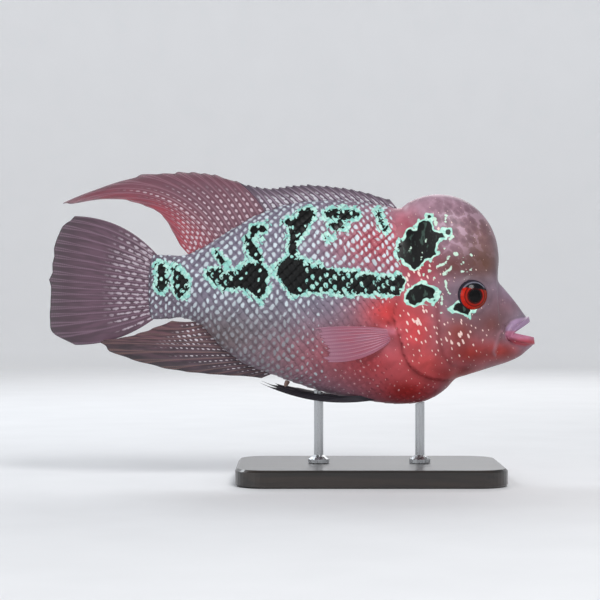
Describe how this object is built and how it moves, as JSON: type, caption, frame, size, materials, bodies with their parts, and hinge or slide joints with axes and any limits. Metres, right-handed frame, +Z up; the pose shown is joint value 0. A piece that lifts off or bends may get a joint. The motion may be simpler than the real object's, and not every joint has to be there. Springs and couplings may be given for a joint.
{
  "type": "flowerhorn cichlid display model",
  "caption": "Life-size flowerhorn cichlid with a high nuchal hump and trailing fins, held level on a low two-rod display stand.",
  "frame": {"origin": "on the floor under the middle of the model's bounding box", "axes": "+X along the fish towards its lips, +Y towards its left side, +Z up"},
  "size_m": [0.2501, 0.084, 0.1587],
  "materials": {
    "hump_skin": "satin, mauve brown with dark marks",
    "face_skin": "satin, crimson to mauve",
    "flank_skin": "satin, lavender grey with pale pearls and dark blotches",
    "lip_skin": "satin, pink",
    "eye": "wet gloss, red ring round a black pupil",
    "fin_skin": "satin, mauve brown, paler on the rays",
    "pectoral_skin": "satin, clear pink violet",
    "pelvic_skin": "satin, blackish grey",
    "stand_plate": "black satin lacquer",
    "stand_rod": "satin"
  },
  "bodies": {
    "root": {"nuchal_hump": "hump_skin", "head": "face_skin", "gill_cover_right": "face_skin", "gill_cover_left": "face_skin", "trunk": "flank_skin", "tail_stalk": "flank_skin", "upper_lip": "lip_skin", "lower_jaw": "lip_skin", "vent_papilla": "lip_skin", "eye_right": "eye", "eye_left": "eye", "dorsal_fin_spiny": "fin_skin", "dorsal_fin_soft": "fin_skin", "tail_fin": "fin_skin", "anal_fin": "fin_skin", "pectoral_fin_right": "pectoral_skin", "pectoral_fin_left": "pectoral_skin", "pelvic_fin_right": "pelvic_skin", "pelvic_fin_left": "pelvic_skin", "stand_base": "stand_plate", "stand_rod_front": "stand_rod", "stand_rod_rear": "stand_rod"}
  },
  "joints": []
}
